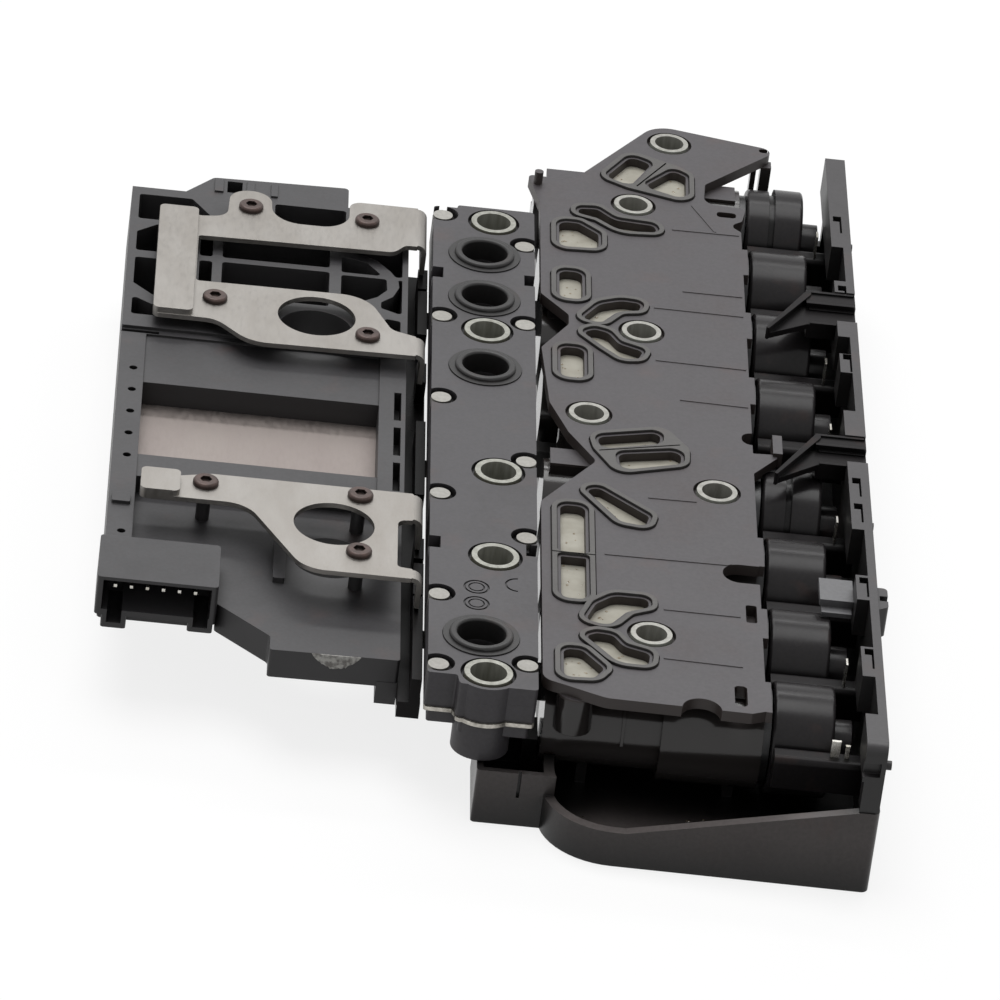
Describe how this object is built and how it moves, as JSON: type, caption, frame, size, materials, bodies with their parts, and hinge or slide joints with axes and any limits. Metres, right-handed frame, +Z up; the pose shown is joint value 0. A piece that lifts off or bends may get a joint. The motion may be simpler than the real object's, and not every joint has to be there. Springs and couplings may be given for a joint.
{
  "type": "transmission control module",
  "caption": "Flat electro-hydraulic control module: a controller, a pressure-switch strip and a plate of solenoid valves in a tub.",
  "frame": {"origin": "on the underside of the base tub, under the middle of the module's outline", "axes": "+X from the controller to the lead frame rail, +Y away from the connector end, +Z up out of the sealing face"},
  "size_m": [0.1504, 0.246, 0.032],
  "materials": {
    "black_nylon": "moulded satin",
    "grey_nylon": "moulded glass-filled, matte",
    "pale_nylon": "moulded matte",
    "stake_nylon": "heat staked matte",
    "seal_rubber": "smooth moulded",
    "screen_mesh": "fine woven mesh",
    "bushing_steel": "turned, plated",
    "sleeve_aluminium": "turned, anodised",
    "copper_wire": "wound enamelled wire",
    "tinned_brass": "tin plated",
    "gasket_aluminium": "pressed sheet edge",
    "plate_aluminium": "rolled, satin",
    "board_laminate": "epoxy laminate",
    "component_resin": "moulded resin",
    "spring_stainless": "rolled satin sheet",
    "brown_screw": "coated",
    "can_steel": "coated satin",
    "spool_steel": "ground",
    "spring_wire": "drawn wire",
    "plunger_steel": "turned, dark"
  },
  "bodies": {
    "root": {"manifold_body": "grey_nylon", "window_seals": "seal_rubber", "filter_screens": "screen_mesh", "plate_bushings": "bushing_steel", "valve_sleeves": "sleeve_aluminium", "sleeve_seals": "seal_rubber", "solenoid_coils": "copper_wire", "solenoid_can_1": "can_steel", "solenoid_spring_1": "spring_wire", "solenoid_can_2": "can_steel", "solenoid_spring_2": "spring_wire", "solenoid_can_3": "can_steel", "solenoid_spring_3": "spring_wire", "solenoid_can_4": "can_steel", "solenoid_spring_4": "spring_wire", "solenoid_can_5": "can_steel", "solenoid_spring_5": "spring_wire", "solenoid_can_6": "can_steel", "solenoid_spring_6": "spring_wire", "solenoid_can_7": "can_steel", "solenoid_spring_7": "spring_wire", "solenoid_can_8": "can_steel", "solenoid_spring_8": "spring_wire", "coil_plugs": "black_nylon", "coil_terminals": "tinned_brass", "lead_frame_rail": "grey_nylon", "rail_arms": "black_nylon", "bridge_clip": "pale_nylon", "base_housing": "black_nylon", "strip_cover": "grey_nylon", "strip_body": "grey_nylon", "strip_gasket": "gasket_aluminium", "strip_lower_body": "grey_nylon", "strip_bushings": "bushing_steel", "stake_pins": "stake_nylon", "port_seals": "seal_rubber", "controller_housing": "grey_nylon", "controller_heat_plate": "plate_aluminium", "controller_cover_plate": "plate_aluminium", "circuit_board": "board_laminate", "board_components": "component_resin", "connector_pins": "tinned_brass", "upper_bracket": "spring_stainless", "lower_bracket": "spring_stainless", "bracket_screws": "brown_screw", "interconnect_comb": "black_nylon"},
    "spool_1": {"solenoid_spool_1": "spool_steel"},
    "spool_2": {"solenoid_spool_2": "spool_steel"},
    "spool_3": {"solenoid_spool_3": "spool_steel"},
    "spool_4": {"solenoid_spool_4": "spool_steel"},
    "spool_5": {"solenoid_spool_5": "spool_steel"},
    "spool_6": {"solenoid_spool_6": "spool_steel"},
    "spool_7": {"solenoid_spool_7": "spool_steel"},
    "spool_8": {"solenoid_spool_8": "spool_steel"},
    "plunger_1": {"switch_plunger_1": "plunger_steel"},
    "plunger_2": {"switch_plunger_2": "plunger_steel"},
    "plunger_3": {"switch_plunger_3": "plunger_steel"},
    "plunger_4": {"switch_plunger_4": "plunger_steel"}
  },
  "joints": [
    {"name": "spool_slide_1", "type": "slide", "parent": "root", "child": "spool_1", "axis": [-1, 0, 0], "range_m": [0, 0.0015], "stiffness_N_per_m": 600, "springref_m": -0.003, "deforming": ["solenoid_spring_1"]},
    {"name": "spool_slide_2", "type": "slide", "parent": "root", "child": "spool_2", "axis": [-1, 0, 0], "range_m": [0, 0.0015], "stiffness_N_per_m": 600, "springref_m": -0.003, "deforming": ["solenoid_spring_2"]},
    {"name": "spool_slide_3", "type": "slide", "parent": "root", "child": "spool_3", "axis": [-1, 0, 0], "range_m": [0, 0.0015], "stiffness_N_per_m": 600, "springref_m": -0.003, "deforming": ["solenoid_spring_3"]},
    {"name": "spool_slide_4", "type": "slide", "parent": "root", "child": "spool_4", "axis": [-1, 0, 0], "range_m": [0, 0.0015], "stiffness_N_per_m": 600, "springref_m": -0.003, "deforming": ["solenoid_spring_4"]},
    {"name": "spool_slide_5", "type": "slide", "parent": "root", "child": "spool_5", "axis": [-1, 0, 0], "range_m": [0, 0.0015], "stiffness_N_per_m": 600, "springref_m": -0.003, "deforming": ["solenoid_spring_5"]},
    {"name": "spool_slide_6", "type": "slide", "parent": "root", "child": "spool_6", "axis": [-1, 0, 0], "range_m": [0, 0.0015], "stiffness_N_per_m": 600, "springref_m": -0.003, "deforming": ["solenoid_spring_6"]},
    {"name": "spool_slide_7", "type": "slide", "parent": "root", "child": "spool_7", "axis": [-1, 0, 0], "range_m": [0, 0.0015], "stiffness_N_per_m": 600, "springref_m": -0.003, "deforming": ["solenoid_spring_7"]},
    {"name": "spool_slide_8", "type": "slide", "parent": "root", "child": "spool_8", "axis": [-1, 0, 0], "range_m": [0, 0.0015], "stiffness_N_per_m": 600, "springref_m": -0.003, "deforming": ["solenoid_spring_8"]},
    {"name": "plunger_slide_1", "type": "slide", "parent": "root", "child": "plunger_1", "axis": [0, 0, -1], "range_m": [0, 0.0004], "stiffness_N_per_m": 2500, "springref_m": -0.0005},
    {"name": "plunger_slide_2", "type": "slide", "parent": "root", "child": "plunger_2", "axis": [0, 0, -1], "range_m": [0, 0.0004], "stiffness_N_per_m": 2500, "springref_m": -0.0005},
    {"name": "plunger_slide_3", "type": "slide", "parent": "root", "child": "plunger_3", "axis": [0, 0, -1], "range_m": [0, 0.0004], "stiffness_N_per_m": 2500, "springref_m": -0.0005},
    {"name": "plunger_slide_4", "type": "slide", "parent": "root", "child": "plunger_4", "axis": [0, 0, -1], "range_m": [0, 0.0004], "stiffness_N_per_m": 2500, "springref_m": -0.0005}
  ]
}
